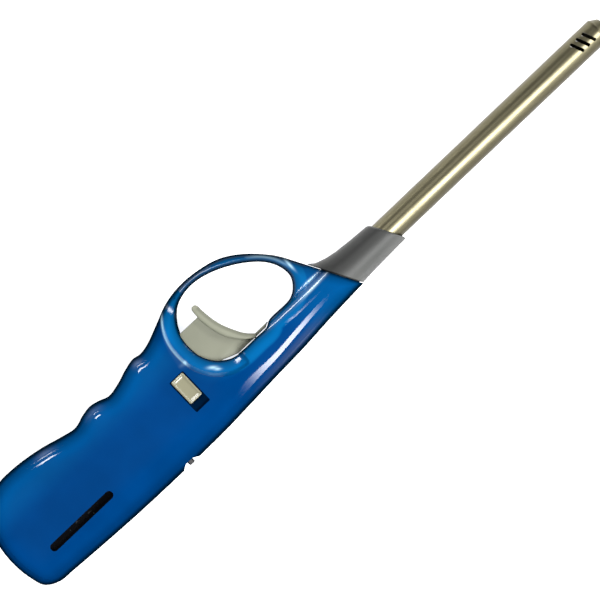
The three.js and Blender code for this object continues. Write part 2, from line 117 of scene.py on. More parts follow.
# Shared places: the gas valve's line, the trigger, the barrel, the lock button's recess and the screws.
VALVE_Y = -1.2
TRIGGER_WEB_TOP = 23.1
BARREL_RADIUS = (BARREL[1][1] - BARREL[0][1]) / 2
RECESS = ((20.3, -0.1), (26.5, 13.3))
SCREWS = [((-47, 20.4), -7.4), ((-6.5, 19.4), -7.4), ((37, -6.2), -5.6)]
# Domes and dips along the finger side: centre X and Y, rise and spread.
FINGER_DOMES = [
    (-27, 22.6, 0.42, 4.4), (-5, 20.8, 0.42, 4.2), (17, 22.6, 0.42, 4.4), (-44, 23, 0.2, 7),
    (-13.6, 23.6, -0.5, 4.0), (2.2, 23.4, -0.5, 4.0), (20.5, 27, -0.2, 3),
]
# Polished spots: centre X and Y, reach along and across, and turn.
FINGER_SPOTS = [(-27.5, 22.4, 2.83, 2.4, 0), (-5, 20.4, 2.4, 2.69, 0), (17, 22.6, 1.56, 2.69, 0)]
# Painted highlights on the shell, as pale spots in its colour, with the same columns.
PAINTED_GLINTS = [
    (28.9, 14.8, 0.45, 0.6, 0), (34.5, 7.2, 1.6, 0.5, -0.69), (35.4, 5.6, 1.1, 0.35, -0.69),
    (77.4, 3.35, 4.6, 0.42, 0.05), (78.6, 5.9, 2.6, 0.42, 0), (77.3, 14.2, 0.4, 1.9, 0),
]


# ---------- surfaces ----------
def smooth_line(points, count, closed=False):
    """Centripetal Catmull-Rom curve through the points, read at even steps of its arc length."""
    p = np.asarray(points, float)
    if closed:
        p = np.vstack([p[-1], p, p[0], p[1]])
    else:
        p = np.vstack([2 * p[0] - p[1], p, 2 * p[-1] - p[-2]])
    gap = np.linalg.norm(np.diff(p, axis=0), axis=1) ** 0.5
    knot = np.concatenate([[0], np.cumsum(gap)])
    u = np.linspace(0, 1, 24, endpoint=False)[:, None, None]
    p0, p1, p2, p3 = (p[i:len(p) - 3 + i][None] for i in range(4))
    t0, t1, t2, t3 = (knot[i:len(p) - 3 + i][None, :, None] for i in range(4))
    t = t1 + (t2 - t1) * u
    a1 = (t1 - t) / (t1 - t0) * p0 + (t - t0) / (t1 - t0) * p1
    a2 = (t2 - t) / (t2 - t1) * p1 + (t - t1) / (t2 - t1) * p2
    a3 = (t3 - t) / (t3 - t2) * p2 + (t - t2) / (t3 - t2) * p3
    b1 = (t2 - t) / (t2 - t0) * a1 + (t - t0) / (t2 - t0) * a2
    b2 = (t3 - t) / (t3 - t1) * a2 + (t - t1) / (t3 - t1) * a3
    c = (t2 - t) / (t2 - t1) * b1 + (t - t1) / (t2 - t1) * b2
    line = np.vstack([c.transpose(1, 0, 2).reshape(-1, p.shape[1]), p[-2][None]])
    length = np.concatenate([[0], np.cumsum(np.linalg.norm(np.diff(line, axis=0), axis=1))])
    want = np.linspace(0, length[-1], count + 1 if closed else count)[:count]
    return np.stack([np.interp(want, length, line[:, k]) for k in range(p.shape[1])], axis=1)


def edge_round(d, width, power=2.0):
    """Rises from 0 at the edge to 1 at the given width: (1 - (1 - d/width)^power)^(1/power)."""
    q = 1 - np.clip(d / width, 0, 1)
    return np.clip(1 - q ** power, 0, 1) ** (1 / power)


def soft_min(a, b, k):
    """Lower of a and b, with the corner between them rounded over a height k."""
    h = np.clip(0.5 + 0.5 * (b - a) / k, 0, 1)
    return b * (1 - h) + a * h - k * h * (1 - h)


def soft_max(a, b, k):
    """Higher of a and b, with the corner between them rounded over a height k."""
    return -soft_min(-a, -b, k)


def smooth_step(low, high, x):
    """0 below low, 1 above high and 3q^2 - 2q^3 between them."""
    q = np.clip((x - low) / (high - low), 0, 1)
    return q * q * (3 - 2 * q)


def distance_to(line, x, y, closed=True):
    """Shortest distance from each point (x, y) to a polyline."""
    a = line
    b = np.roll(line, -1, axis=0) if closed else line[1:]
    a = a if closed else line[:-1]
    ab = b - a
    norm = (ab ** 2).sum(1)
    flat = np.stack([x.ravel(), y.ravel()], 1)
    out = np.empty(len(flat))
    for i in range(0, len(flat), 4000):
        part = flat[i:i + 4000, None, :]
        t = np.clip(((part - a) * ab).sum(2) / norm, 0, 1)
        near = a + t[..., None] * ab
        out[i:i + 4000] = np.sqrt(((part - near) ** 2).sum(2).min(1))
    return out.reshape(x.shape)


OUTER_LINE = smooth_line(HANDLE_OUTLINE, 420, True)
HOLE_LINE = smooth_line(HOLE_OUTLINE, 160, True)


def shell_height(x, y, d_out, d_hole):
    """Height of the outside above the middle plane.

    The grip is a flat slab with rounded edges, three low finger domes and a dished band round the
    guard hole; the nose is a half tube whose section goes from squarish to round; the guard is a
    rounded strap. The highest of the three counts, with soft corners between them.
    """
    tall = np.interp(x, [-62, -54, -46, -32, 36, 46, 58], [8.5, 9.2, 9.6, 10, 10, 9.5, 8.3])
    lateral = (y - 8.5) / 20
    tall = tall - 0.28 * lateral ** 2
    edge = edge_round(d_out, 3.2 + 2.0 * smooth_step(6, 18, y), 2.25)
    slab = tall * edge
    for cx, cy, rise, spread in FINGER_DOMES:
        slab = slab + rise * edge * np.exp(-((x - cx) ** 2 + (y - cy) ** 2) / (2 * spread ** 2))
    front = np.interp(y, [-12, -8, -3, 3, 6, 18, 24, 30, 36], [30, 44, 52, 57, 58, 50, 44, 42, 41.6])
    slab = slab * np.where(y > 12, edge_round(np.clip(front - x, 0, None), 1.4), 1)
    floor = 6.3 * edge_round(d_hole, 0.8) + 0.24 * d_hole + 3.2 * np.clip((d_hole - 4.1) / 1.5, 0, None) ** 1.5
    floor = floor + 8 * smooth_step(43.5, 49, x) * (y < 20)
    low = np.interp(x, NOSE_X, NOSE_LOW)
    high = np.interp(x, NOSE_X, NOSE_HIGH)
    power = 2.0 + 0.9 * (1 - smooth_step(36, 78, x))
    eta = np.clip(np.abs(y - (low + high) / 2) / ((high - low) / 2), 0, 1)
    nose = np.interp(x, NOSE_X, NOSE_TALL) * smooth_step(8, 30, x) * (1 - eta ** power) ** (1 / power)
    turn = smooth_step(front - 24, front + 4, x) * (y < 12)
    slab = soft_min(slab * (1 - turn) + nose * turn, floor, 0.55)
    strap = (5.0 + 0.5 * smooth_step(50, 42, x)) * edge_round(np.minimum(d_out, d_hole), 1.5, 2.3)
    strap = strap * smooth_step(30, 36, x) * np.where(x > 66, smooth_step(4.4, 5.9, y), smooth_step(2, 5, y))
    height = soft_max(slab, strap, 0.3)
    height = np.minimum(height, 16 * edge_round(d_hole, 0.45))
    return np.clip(height, 0, None)


def facing_parameters(count):
    """Outer and hole places of each grid column: linear in arc length between the facing places."""
    def place(line, point):
        step = np.linalg.norm(np.roll(line, -1, axis=0) - line, axis=1)
        along = np.concatenate([[0], np.cumsum(step)])
        return along[np.argmin(np.linalg.norm(line - point, axis=1))], along

    outer_at, hole_at = [], []
    for outer_point, hole_point in FACING:
        a, outer_along = place(OUTER_FINE, outer_point)
        b, hole_along = place(HOLE_FINE, hole_point)
        outer_at.append(a)
        hole_at.append(b)
    start = outer_at[0]
    total = outer_along[-1]
    outer_rel = [(a - start) % total for a in outer_at] + [total]
    hole_total = hole_along[-1]
    hole_rel = [(hole_at[0] - b) % hole_total for b in hole_at] + [hole_total]
    s = np.linspace(0, total, count, endpoint=False)
    g = np.interp(s, outer_rel, hole_rel)

    def read(line, along, value, size):
        value = value % size
        closed = np.vstack([line, line[:1]])
        return np.stack([np.interp(value, along, closed[:, k]) for k in range(2)], 1)

    outer = read(OUTER_FINE, outer_along, s + start, total)
    hole = read(HOLE_FINE, hole_along, hole_at[0] - g, hole_total)
    return outer, hole


OUTER_FINE = smooth_line(HANDLE_OUTLINE, 3000, True)
HOLE_FINE = smooth_line(HOLE_OUTLINE, 3000, True)


def ring_smooth(values, width):
    """Gaussian mean round a closed loop, with a spread of the given number of samples."""
    size = len(values)
    kernel = np.exp(-0.5 * (np.arange(-3 * width, 3 * width + 1) / width) ** 2)
    kernel /= kernel.sum()
    padded = np.vstack([values[-3 * width:], values, values[:3 * width]])
    return np.stack([np.convolve(padded[:, k], kernel, "valid")[:size] for k in range(values.shape[1])], 1)


def shell_rows(columns):
    """Plan places of the shell grid and the rows' places across it, from the hole's edge outwards."""
    outer, hole = facing_parameters(columns)

    def normal(line, width):
        tangent = np.roll(line, -1, axis=0) - np.roll(line, 1, axis=0)
        n = np.stack([-tangent[:, 1], tangent[:, 0]], 1)
        n /= np.linalg.norm(n, axis=1)[:, None]
        across = hole - outer
        across = across / np.linalg.norm(across, axis=1)[:, None]
        n *= np.sign((n * across).sum(1).mean())
        n = ring_smooth(n, width)
        return n / np.linalg.norm(n, axis=1)[:, None]

    inward = normal(outer, 9)
    hole_out = hole_normal(hole)
    gap = np.linalg.norm(outer - hole, axis=1)
    facing = (hole - outer) / gap[:, None]
    tail = ((outer[:, 0] > 82) * 1.0)[:, None]
    inward = ring_smooth(inward * (1 - tail) + facing * tail, 4)
    inward = inward / np.linalg.norm(inward, axis=1)[:, None]
    wide_out = np.minimum(7.0, 0.45 * gap)[:, None]
    wide_hole = np.minimum(6.9, 0.45 * gap)[:, None]
    return outer, hole, inward, hole_out, wide_out, wide_hole


def hole_normal(hole):
    """Direction away from the hole at each column, from the fine outline's smoothed normals."""
    tangent = np.roll(HOLE_FINE, -1, axis=0) - np.roll(HOLE_FINE, 1, axis=0)
    n = np.stack([tangent[:, 1], -tangent[:, 0]], 1)
    n /= np.linalg.norm(n, axis=1)[:, None]
    centre = HOLE_FINE.mean(0)
    n *= np.sign((n * (HOLE_FINE - centre)).sum(1).mean())
    n = ring_smooth(n, 30)
    n /= np.linalg.norm(n, axis=1)[:, None]
    return n[((HOLE_FINE[None] - hole[:, None]) ** 2).sum(2).argmin(1)]


def relaxed(plan, first, last, weight, rounds=500):
    """Plan grid whose rows from first to last settle at the mean of their four neighbours, so no cell folds.

    The weight of each column is 0 where it keeps its places and 1 where it settles freely.
    """
    weight = weight[:, None, None]
    for _ in range(rounds):
        beside = (np.roll(plan, 1, axis=0) + np.roll(plan, -1, axis=0))[:, first:last]
        mean = (beside + plan[:, first - 1:last - 1] + plan[:, first + 1:last + 1]) / 4
        plan[:, first:last] += weight * (mean - plan[:, first:last])
    return plan


def shell_surface(columns=640, hole_rows=22, middle_rows=14, outer_rows=18, inner_rows=6, wall=1.9):
    """Closed section loop of a half shell, as (columns, rows, 3).

    Each column runs from the hole's edge at the seam, up and over the outside to the outer edge at
    the seam, then back along the inside: the inside is the outside lowered by the wall.
    """
    outer, hole, inward, hole_out, wide_out, wide_hole = shell_rows(columns)
    h = (1 - np.cos(np.linspace(0, math.pi / 2, hole_rows))) ** 0.9
    o = (1 - np.cos(np.linspace(0, math.pi / 2, outer_rows)))[::-1]
    m = np.linspace(0, 1, middle_rows + 2)[1:-1]
    near_hole = hole[:, None] + hole_out[:, None] * (wide_hole * h[None])[..., None]
    near_outer = outer[:, None] + inward[:, None] * (wide_out * o[None])[..., None]
    a, b = near_hole[:, -1:], near_outer[:, :1]
    between = a + (b - a) * m[None, :, None]
    plan = np.concatenate([near_hole, between, near_outer], 1)
    free = smooth_step(3.6, 8, np.linalg.norm(outer - hole, axis=1))
    plan = relaxed(plan, hole_rows - 3, plan.shape[1] - 5, free)
    d_out = distance_to(OUTER_LINE, plan[..., 0], plan[..., 1])
    d_hole = distance_to(HOLE_LINE, plan[..., 0], plan[..., 1])
    d_hole[:, 0] = 0
    d_out[:, -1] = 0
    z = shell_height(plan[..., 0], plan[..., 1], d_out, d_hole)
    z[:, 0] = 0
    z[:, -1] = 0
    outside = np.concatenate([plan, z[..., None]], 2)
    inset_out = np.minimum(wall, 0.93 * wide_out[:, 0])[:, None]
    inset_hole = np.minimum(wall, 0.93 * wide_hole[:, 0])[:, None]
    t = np.linspace(0, 1, inner_rows) ** 1.6
    from_outer = outer[:, None] + inward[:, None] * (inset_out + (wide_out - inset_out) * t)[..., None]
    to_hole = hole[:, None] + hole_out[:, None] * (inset_hole + (wide_hole - inset_hole) * t[::-1])[..., None]
    a, b = from_outer[:, -1:], to_hole[:, :1]
    m = np.linspace(0, 1, inner_rows + 2)[1:-1]
    inner = np.concatenate([from_outer, a + (b - a) * m[None, :, None], to_hole], 1)
    inner = relaxed(inner, 3, inner.shape[1] - 3, free)
    i_out = distance_to(OUTER_LINE, inner[..., 0], inner[..., 1])
    i_hole = distance_to(HOLE_LINE, inner[..., 0], inner[..., 1])
    zi = shell_height(inner[..., 0], inner[..., 1], i_out, i_hole) - wall
    zi = np.clip(zi, 0, None) * edge_round(np.minimum(i_out, i_hole) - wall, 1.0)
    inside = np.concatenate([inner, zi[..., None]], 2)
    return np.concatenate([outside, inside], 1)


# ---------- pieces from surfaces ----------
def circle(centre, radius, count):
    """Ring of points: centre + radius * (cos a, sin a)."""
    a = np.linspace(0, 2 * math.pi, count, endpoint=False)
    return np.stack([centre[0] + radius * np.cos(a), centre[1] + radius * np.sin(a)], 1)


def rounded(points, radius, steps=7):
    """Polygon with each corner replaced by a quadratic Bezier curve that starts a radius before it."""
    p = np.asarray(points, float)
    back, on = np.roll(p, 1, axis=0) - p, np.roll(p, -1, axis=0) - p
    radius = np.broadcast_to(np.asarray(radius, float), len(p))[:, None]
    reach_back = np.minimum(radius, 0.45 * np.linalg.norm(back, axis=1)[:, None])
    reach_on = np.minimum(radius, 0.45 * np.linalg.norm(on, axis=1)[:, None])
    a = p + back / np.linalg.norm(back, axis=1)[:, None] * reach_back
    b = p + on / np.linalg.norm(on, axis=1)[:, None] * reach_on
    t = np.linspace(0, 1, steps)[None, :, None]
    curve = (1 - t) ** 2 * a[:, None] + 2 * t * (1 - t) * p[:, None] + t ** 2 * b[:, None]
    return curve.reshape(-1, 2)


def stadium(start, end, y, radius, count=12):
    """Outline of a slot with half round ends, from start to end along X at the given Y."""
    a = np.linspace(-math.pi / 2, math.pi / 2, count)
    right = np.stack([end - radius + radius * np.cos(a), y + radius * np.sin(a)], 1)
    left = np.stack([start + radius - radius * np.cos(a), y - radius * np.sin(a)], 1)
    return np.vstack([right, left])


def outward(outline):
    """Unit vectors pointing out of a closed plan outline."""
    tangent = np.roll(outline, -1, axis=0) - np.roll(outline, 1, axis=0)
    n = np.stack([tangent[:, 1], -tangent[:, 0]], 1)
    n /= np.maximum(np.linalg.norm(n, axis=1), 1e-9)[:, None]
    area = (outline[:, 0] * np.roll(outline[:, 1], -1) - np.roll(outline[:, 0], -1) * outline[:, 1]).sum()
    return n if area > 0 else -n


def stack(outline, profile):
    """Loops of a plan outline, each moved inwards by an inset and up to a height: profile is (inset, z)."""
    profile = np.asarray(profile, float)
    plan = outline[None] - outward(outline)[None] * profile[:, 0, None, None]
    z = np.broadcast_to(profile[:, 1, None, None], plan.shape[:2] + (1,))
    return np.concatenate([plan, z], 2)


def plate(outline, low, high, edge=0.4, steps=5):
    """Plan outline between two heights, with quarter-round edges: inset e(1 - sin a), height e(1 - cos a)."""
    a = np.linspace(0, math.pi / 2, steps)
    lower = np.stack([edge * (1 - np.sin(a)), low + edge * (1 - np.cos(a))], 1)
    upper = np.stack([edge * (1 - np.cos(a)), high - edge * (1 - np.sin(a))], 1)
    return stack(outline, np.vstack([lower, upper]))


def prism(outline, low, high):
    """Plan outline between two heights, with sharp edges."""
    return stack(outline, [(0, low), (0, high)])


def block(low, high):
    """Box between two corners."""
    plan = np.array([(low[0], low[1]), (high[0], low[1]), (high[0], high[1]), (low[0], high[1])], float)
    return prism(plan, low[2], high[2])


def along_x(surface):
    """The same loops with the plan turned to (Y, Z) and the height to X."""
    return surface[..., [2, 0, 1]]


def turned(profile, y, z=0.0, count=96):
    """Profile of (x, radius) turned about an axis along X: (x, y + r cos a, z + r sin a)."""
    profile = np.asarray(profile, float)
    a = np.linspace(0, 2 * math.pi, count, endpoint=False)[:, None]
    x = np.broadcast_to(profile[:, 0], (count, len(profile)))
    return np.stack([x, y + profile[:, 1] * np.cos(a), z + profile[:, 1] * np.sin(a)], -1)


def mesh_of(name, surface, ring=False):
    """Mesh of section loops: quads between the loops, flat ends unless the loops close into a ring."""
    loops, around = surface.shape[:2]
    i, j = np.meshgrid(np.arange(loops if ring else loops - 1), np.arange(around), indexing="ij")
    ahead, side = (i + 1) % loops, (j + 1) % around
    quads = np.stack([i * around + j, ahead * around + j, ahead * around + side, i * around + side], -1)
    faces = quads.reshape(-1, 4).tolist()
    if not ring:
        faces.append(list(range(around)))
        faces.append(list(range((loops - 1) * around, loops * around)))
    mesh = bpy.data.meshes.new(name)
    points = (surface.reshape(-1, 3) + (0, 0, MID)) * MM
    mesh.from_pydata(points.tolist(), [], faces)
    bm = bmesh.new()
    bm.from_mesh(mesh)
    bmesh.ops.remove_doubles(bm, verts=bm.verts, dist=1e-6)
    bmesh.ops.dissolve_degenerate(bm, edges=bm.edges, dist=1e-7)
    bmesh.ops.recalc_face_normals(bm, faces=bm.faces)
    bm.to_mesh(mesh)
    bm.free()
    return mesh


def solid(name, surface, ring=False):
    """Object of a closed surface, in the scene at the origin."""
    obj = bpy.data.objects.new(name, mesh_of(name, surface, ring))
    bpy.context.scene.collection.objects.link(obj)
    return obj


def combine(obj, others, operation="DIFFERENCE"):
    """Cuts surfaces from an object, or joins them to it, and keeps the result as its mesh."""
    for other in others:
        surface, ring = other if isinstance(other, tuple) else (other, False)
        tool = solid("tool", surface, ring)
        modifier = obj.modifiers.new("combine", "BOOLEAN")
        modifier.operation = operation
        modifier.solver = "MANIFOLD"
        modifier.object = tool
        bpy.context.view_layer.update()
        graph = bpy.context.evaluated_depsgraph_get()
        made = bpy.data.meshes.new_from_object(obj.evaluated_get(graph))
        if not len(made.polygons):
            raise RuntimeError("nothing is left of " + obj.name)
        obj.modifiers.clear()
        old = obj.data
        obj.data = made
        made.name = obj.name
        bpy.data.meshes.remove(old)
        bpy.data.meshes.remove(tool.data)
    return obj


def points_of(obj):
    """Vertices in millimetres, with Z from the middle plane."""
    co = np.empty(len(obj.data.vertices) * 3)
    obj.data.vertices.foreach_get("co", co)
    return co.reshape(-1, 3) / MM - (0, 0, MID)


def mark(obj, name, values):
    """Stores one number per vertex for the materials."""
    attribute = obj.data.attributes.new(name, "FLOAT", "POINT")
    attribute.data.foreach_set("value", np.asarray(values, np.float32))


def settle(obj, body, material, replaced=(), angle=34):
    """Shades the piece smooth with sharp creases, gives it its finish and lets it ride on its body."""
    obj.data.shade_smooth()
    obj.data.set_sharp_from_angle(angle=math.radians(angle))
    obj.data.materials.clear()
    obj.data.materials.append(material)
    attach(obj, body)
    if replaced:
        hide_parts(*replaced)
    return obj


# ---------- materials ----------
class Term:
    """A shader value that Python arithmetic turns into Math nodes."""

    def __init__(self, tree, socket):
        self.tree = tree
        self.socket = socket

    def math(self, operation, *others, flip=False):
        values = [self, *others][::-1] if flip else [self, *others]
        return self.tree.add("ShaderNodeMath", {"operation": operation}, dict(enumerate(values)))

    def __add__(self, other):
        return self.math("ADD", other)

    def __sub__(self, other):
        return self.math("SUBTRACT", other)

    def __rsub__(self, other):
        return self.math("SUBTRACT", other, flip=True)

    def __mul__(self, other):
        return self.math("MULTIPLY", other)

    __radd__ = __add__
    __rmul__ = __mul__


class Tree:
    """Node tree of one material, with its Principled shader."""

    def __init__(self, name, **constants):
        self.material = bpy.data.materials.new(name)
        self.material.use_nodes = True
        self.nodes = self.material.node_tree.nodes
        self.nodes.clear()
        self.shader = self.nodes.new("ShaderNodeBsdfPrincipled")
        output = self.nodes.new("ShaderNodeOutputMaterial")
        self.material.node_tree.links.new(self.shader.outputs[0], output.inputs[0])
        for socket, value in constants.items():
            self.shader.inputs[socket.replace("_", " ")].default_value = value
        self.place = self.add("ShaderNodeTexCoord", {}, {}, "Object")

    def add(self, kind, settings, sockets, output=0):
        """Adds a node, sets it up, fills its sockets with values or links, and returns one output."""
        node = self.nodes.new(kind)
        for key, value in settings.items():
            setattr(node, key, value)
        for key, value in sockets.items():
            if isinstance(value, Term):
                self.material.node_tree.links.new(value.socket, node.inputs[key])
            else:
                node.inputs[key].default_value = value
        return Term(self, node.outputs[output])

    def feed(self, socket, value):
        """Links a value to a socket of the Principled shader."""
        self.material.node_tree.links.new(value.socket, self.shader.inputs[socket])

    def between(self, low, high, value):
        """0 where the value is below low and 1 above high, smoothly."""
        return self.add("ShaderNodeMapRange", {"interpolation_type": "SMOOTHSTEP"},
                        {"Value": value, "From Min": low, "From Max": high})

    def noise(self, scale, detail=3.0, roughness=0.55, stretch=None):
        """Noise over the piece, with a scale in cycles a metre, and stretched along axes where asked."""
        place = self.place
        if stretch:
            place = self.add("ShaderNodeVectorMath", {"operation": "MULTIPLY"}, {0: place, 1: stretch})
        return self.add("ShaderNodeTexNoise", {}, {"Vector": place, "Scale": scale, "Detail": detail,
                                                   "Roughness": roughness}, "Fac")

    def blend(self, factor, a, b):
        """Colour between a and b."""
        return self.add("ShaderNodeMix", {"data_type": "RGBA"}, {0: factor, 6: a, 7: b}, 2)

    def attribute(self, name):
        """Number stored with the piece's vertices."""
        return self.add("ShaderNodeAttribute", {"attribute_name": name}, {}, "Fac")

    def steepness(self):
        """0 where the surface faces up or down and 1 where it stands upright."""
        normal = self.add("ShaderNodeTexCoord", {}, {}, "Normal")
        z = self.add("ShaderNodeSeparateXYZ", {}, {0: normal}, "Z")
        return 1 - z.math("ABSOLUTE")

    def bump(self, height, strength, distance):
        """Feeds a small relief to the shader's normal; the distance is in metres."""
        self.feed("Normal", self.add("ShaderNodeBump", {}, {"Strength": strength, "Distance": distance,
                                                            "Height": height}))


def linear(rgb):
    """Linear colour with full alpha from an sRGB colour of 0 to 1."""
    c = np.asarray(rgb, float)
    lin = np.where(c <= 0.04045, c / 12.92, ((c + 0.055) / 1.055) ** 2.4)
    return (*lin.tolist(), 1.0)


def shade(colour, factor):
    """Colour times a factor, with full alpha."""
    return (*[c * factor for c in colour[:3]], 1.0)


def plastic(name, rgb, roughness=0.3, grain=0.0, coat=0.0, variation=0.08, edge=0.5, level=0.5, shaded=0.0):
    """Moulded plastic: a cloudy colour with painted shade on upright faces and, where asked, from a shade mark,
    uneven gloss and a fine mould grain.
    """
    colour = linear(rgb)
    tree = Tree(name, IOR=1.5, Specular_IOR_Level=level, Coat_Roughness=0.06, Coat_IOR=1.5)
    cloud = tree.noise(55, 3)
    speck = tree.noise(900, 2)
    pale, deep = shade(colour, 1 + variation), shade(colour, 1 - variation)
    tone = tree.blend(tree.between(0.3, 0.7, cloud), deep, pale)
    # Painted shade: upright faces turn darker, and where asked the piece's shade mark darkens it too.
    steep = tree.between(0.25, 0.95, tree.steepness())
    if shaded:
        tone = tree.blend(tree.attribute("shade") * shaded, tone, shade(colour, 0.12))
    tree.feed("Base Color", tree.blend(steep * edge, tone, shade(colour, 0.08)))
    tree.feed("Roughness", roughness + 0.12 * (cloud - 0.5) + 0.06 * (speck - 0.5))
    if coat:
        tree.feed("Coat Weight", coat * (1 - steep))
    tree.bump(tree.noise(2600, 2) + 0.6 * speck, 0.35, 0.00002 + 0.00006 * grain)
    return tree.material


def shell_plastic(name, rgb):
    """Glossy pigmented shell: cloudy blue, painted light on the strap, nose and finger side, painted shade and
    less gloss along the outline, painted highlights.
    """
    colour = linear(rgb)
    tree = Tree(name, IOR=1.46, Specular_IOR_Level=0.0, Coat_Roughness=0.06, Coat_IOR=1.65)
    cloud = tree.between(0.32, 0.68, tree.noise(34, 3))
    speck = tree.noise(1400, 2)
    rim = tree.attribute("rim")
    tone = tree.blend(cloud, shade(colour, 0.86), shade(colour, 1.08))
    # Painted light: a lighter copy of the blue, blended in on the strap, nose and finger side.
    lit = linear(np.clip(np.asarray(rgb) * (1, 1.56, 1.27) + (0.02, 0.0, 0.0), 0, 1))
    tone = tree.blend(tree.attribute("painted_light"), tone, tree.blend(cloud, shade(lit, 0.92), shade(lit, 1.06)))
    # Painted shade: the colour darkens towards the shell's edges and in the button's recess.
    near = 1 - tree.between(0.35, 2.1, rim)
    wide = 1 - tree.between(0.5, 5.5, rim)
    dark = linear(np.asarray(rgb) * 0.14 + (0.0, 0.008, 0.012))
    tone = tree.blend(wide * 0.45, tone, dark)
    tone = tree.blend(near * 0.95, tone, dark)
    # Painted highlights: pale lines and spots blended into the base colour.
    tree.feed("Base Color", tree.blend(tree.attribute("painted_glint"), tone, linear((0.74, 0.9, 0.97))))
    tree.feed("Coat Weight", tree.attribute("gloss") * (1 - near))
    tree.feed("Roughness", 0.42 + 0.2 * (cloud - 0.5) + 0.08 * (speck - 0.5))
    tree.bump(tree.noise(190, 2) + 0.06 * speck, 0.25, 0.00004)
    return tree.material


def metal(name, rgb, roughness=0.3, stretch=(0.04, 1, 1), variation=0.12, tint=None, tube=False):
    """Drawn or turned metal: streaks along the work, a little tarnish and uneven polish; a tube also gets
    painted shade.
    """
    colour = linear(rgb)
    tree = Tree(name, Metallic=1.0)
    streak = tree.noise(1500, 4, 0.6, stretch)
    patch = tree.noise(70, 3)
    pale, deep = shade(colour, 1 + variation), shade(colour, 1 - variation)
    tone = tree.blend(tree.between(0.3, 0.7, streak), deep, pale)
    tarnish = linear(tint if tint is not None else np.asarray(rgb) * 0.7)
    tone = tree.blend(tree.between(0.5, 0.8, patch) * 0.35, tone, tarnish)
    if tube:
        # Painted shade on the tube: darker by its shade mark, on upright faces, and near black inside the bore.
        steep = tree.between(0.45, 0.97, tree.steepness())
        tone = tree.blend(tree.attribute("shade") * 0.72, tone, shade(colour, 0.18))
        tone = tree.blend(steep * 0.75, tone, shade(colour, 0.16))
        tone = tree.blend(tree.attribute("painted_bore_shade"), tone, (0.004, 0.004, 0.004, 1))
    tree.feed("Base Color", tone)
    tree.feed("Roughness", roughness + 0.16 * (streak - 0.5) + 0.14 * (patch - 0.5))
    tree.bump(streak, 0.2, 0.000008 if tube else 0.00003)
    return tree.material


def smoke(name):
    """Dark clear tank plastic with flow marks and a few pale spots of painted highlight."""
    tree = Tree(name, IOR=1.49, Specular_IOR_Level=0.3)
    flow = tree.noise(160, 3, 0.5, (0.3, 1, 1))
    # Painted highlights: sparse pale spots blended into the dark colour.
    painted_sparkle = tree.between(0.7, 0.76, tree.noise(520, 1, 0.5))
    tone = tree.blend(flow, linear((0.002, 0.004, 0.014)), linear((0.008, 0.016, 0.045)))
    tree.feed("Base Color", tree.blend(painted_sparkle * 0.35, tone, linear((0.35, 0.37, 0.38))))
    tree.feed("Roughness", 0.12 + 0.2 * flow)
    tree.bump(flow, 0.3, 0.0001)
    return tree.material


MATERIALS = {}


def finish_of(slot_name):
    """The finish of a material slot, made once, with the colours of the panel's settings."""
    if slot_name in MATERIALS:
        return MATERIALS[slot_name]
    colours = bpy.context.scene.lighter_colours
    pick = {
        "handle_blue": lambda: shell_plastic("shell plastic", colours.shell),
        "collar_grey": lambda: plastic("collar plastic", colours.collar, 0.45, grain=0.6, variation=0.07,
                                       edge=0.75, level=0.35, shaded=0.92),
        "trigger_pale": lambda: plastic("trigger plastic", colours.trigger, 0.4, grain=0.5, variation=0.05,
                                        edge=0.4, shaded=0.6),
        "lock_beige": lambda: plastic("button plastic", colours.button, 0.22, grain=0.1, coat=0.5,
                                      variation=0.05, edge=0.3),
        "barrel_metal": lambda: metal("barrel metal", colours.barrel, 0.4, (0.03, 1, 1), 0.1,
                                      tint=(0.5, 0.48, 0.38), tube=True),
        "tank_smoke": lambda: smoke("tank plastic"),
        "inner_white": lambda: plastic("natural plastic", (0.86, 0.86, 0.82), 0.4, 0.4),
        "inner_black": lambda: plastic("black plastic", (0.07, 0.07, 0.075), 0.36, 0.5),
        "adjuster_black": lambda: plastic("adjuster plastic", (0.05, 0.05, 0.06), 0.35, grain=0.4, variation=0.1,
                                          edge=0.4),
        "wire_black": lambda: plastic("wire insulation", (0.05, 0.05, 0.05), 0.5, 0.3),
        "valve_brass": lambda: metal("turned brass", (0.78, 0.62, 0.34), 0.26, (1, 0.1, 0.1), 0.1),
        "spring_steel": lambda: metal("spring wire", (0.66, 0.66, 0.67), 0.28, (1, 1, 1), 0.1),
        "screw_steel": lambda: metal("plated steel", (0.62, 0.62, 0.6), 0.32, (1, 1, 0.2), 0.12),
    }
    MATERIALS[slot_name] = pick[slot_name]()
    return MATERIALS[slot_name]


# ---------- settings ----------
def length_property(name, description, default):
    return bpy.props.FloatProperty(name=name, description=description, default=default, unit="LENGTH",
                                   subtype="DISTANCE", min=0.0001)


def colour_property(name, description, default):
    return bpy.props.FloatVectorProperty(name=name, description=description, default=default, size=3,
                                         subtype="COLOR_GAMMA", min=0, max=1)


class LighterSizes(bpy.types.PropertyGroup):
    """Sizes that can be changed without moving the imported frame."""

    seam: length_property("Seam", "Gap between the two grip shells", 0.0003)
    wall: length_property("Shell wall", "Thickness of the grip shells", 0.0019)
    window: length_property("Window width", "Width of the fuel window", 0.0029)
    web: length_property("Trigger web", "Thickness of the trigger behind its front pad", 0.0066)
    pad: length_property("Trigger pad", "Width of the trigger's front pad", 0.0104)
    vent: length_property("Barrel slot", "Width of the air slots near the barrel's mouth", 0.0012)
    bore: length_property("Mouth", "Radius of the barrel's rolled mouth", 0.0025)


